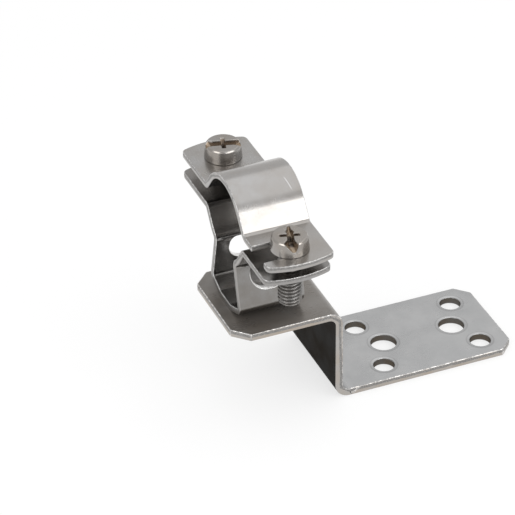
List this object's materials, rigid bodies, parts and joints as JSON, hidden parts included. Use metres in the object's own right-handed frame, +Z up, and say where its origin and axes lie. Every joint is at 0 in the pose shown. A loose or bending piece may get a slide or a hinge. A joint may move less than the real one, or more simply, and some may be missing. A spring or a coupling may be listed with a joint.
{
  "type": "roof conductor holder",
  "caption": "Stepped sheet-steel fixing bracket with a folded saddle and a slotted strap that clamp a round roof conductor, drawn down by screws.",
  "frame": {"origin": "centre of the fixing hole pattern, on the underside of the lower plate", "axes": "+X along the bracket from the clamp towards the drilled end, +Y across the bracket towards the rear screw, +Z up, away from the surface that the bracket is fixed to"},
  "size_m": [0.078, 0.0591, 0.0636],
  "materials": {
    "bracket_steel": "satin stainless sheet",
    "clamp_steel": "satin stainless strip",
    "screw_steel": "satin stainless, turned"
  },
  "bodies": {
    "holder": {"fixing_bracket": "bracket_steel", "clamp_saddle": "clamp_steel", "saddle_rivet": "screw_steel"},
    "strap": {"clamp_strap": "clamp_steel"},
    "front_screw_body": {"front_screw": "screw_steel"},
    "rear_screw_body": {"rear_screw": "screw_steel"}
  },
  "joints": [
    {"name": "strap_swing", "type": "hinge", "parent": "holder", "child": "strap", "pos_m": [-0.045, 0.0218, 0.0547], "axis": [0, 0, 1], "range_deg": [0, 110]},
    {"name": "front_screw_turn", "type": "hinge", "parent": "holder", "child": "front_screw_body", "pos_m": [-0.0455, -0.0218, 0.0497], "axis": [0, 0, 1], "range_deg": [0, 720]},
    {"name": "rear_screw_turn", "type": "hinge", "parent": "holder", "child": "rear_screw_body", "pos_m": [-0.045, 0.0218, 0.0497], "axis": [0, 0, 1], "range_deg": [0, 720]}
  ]
}
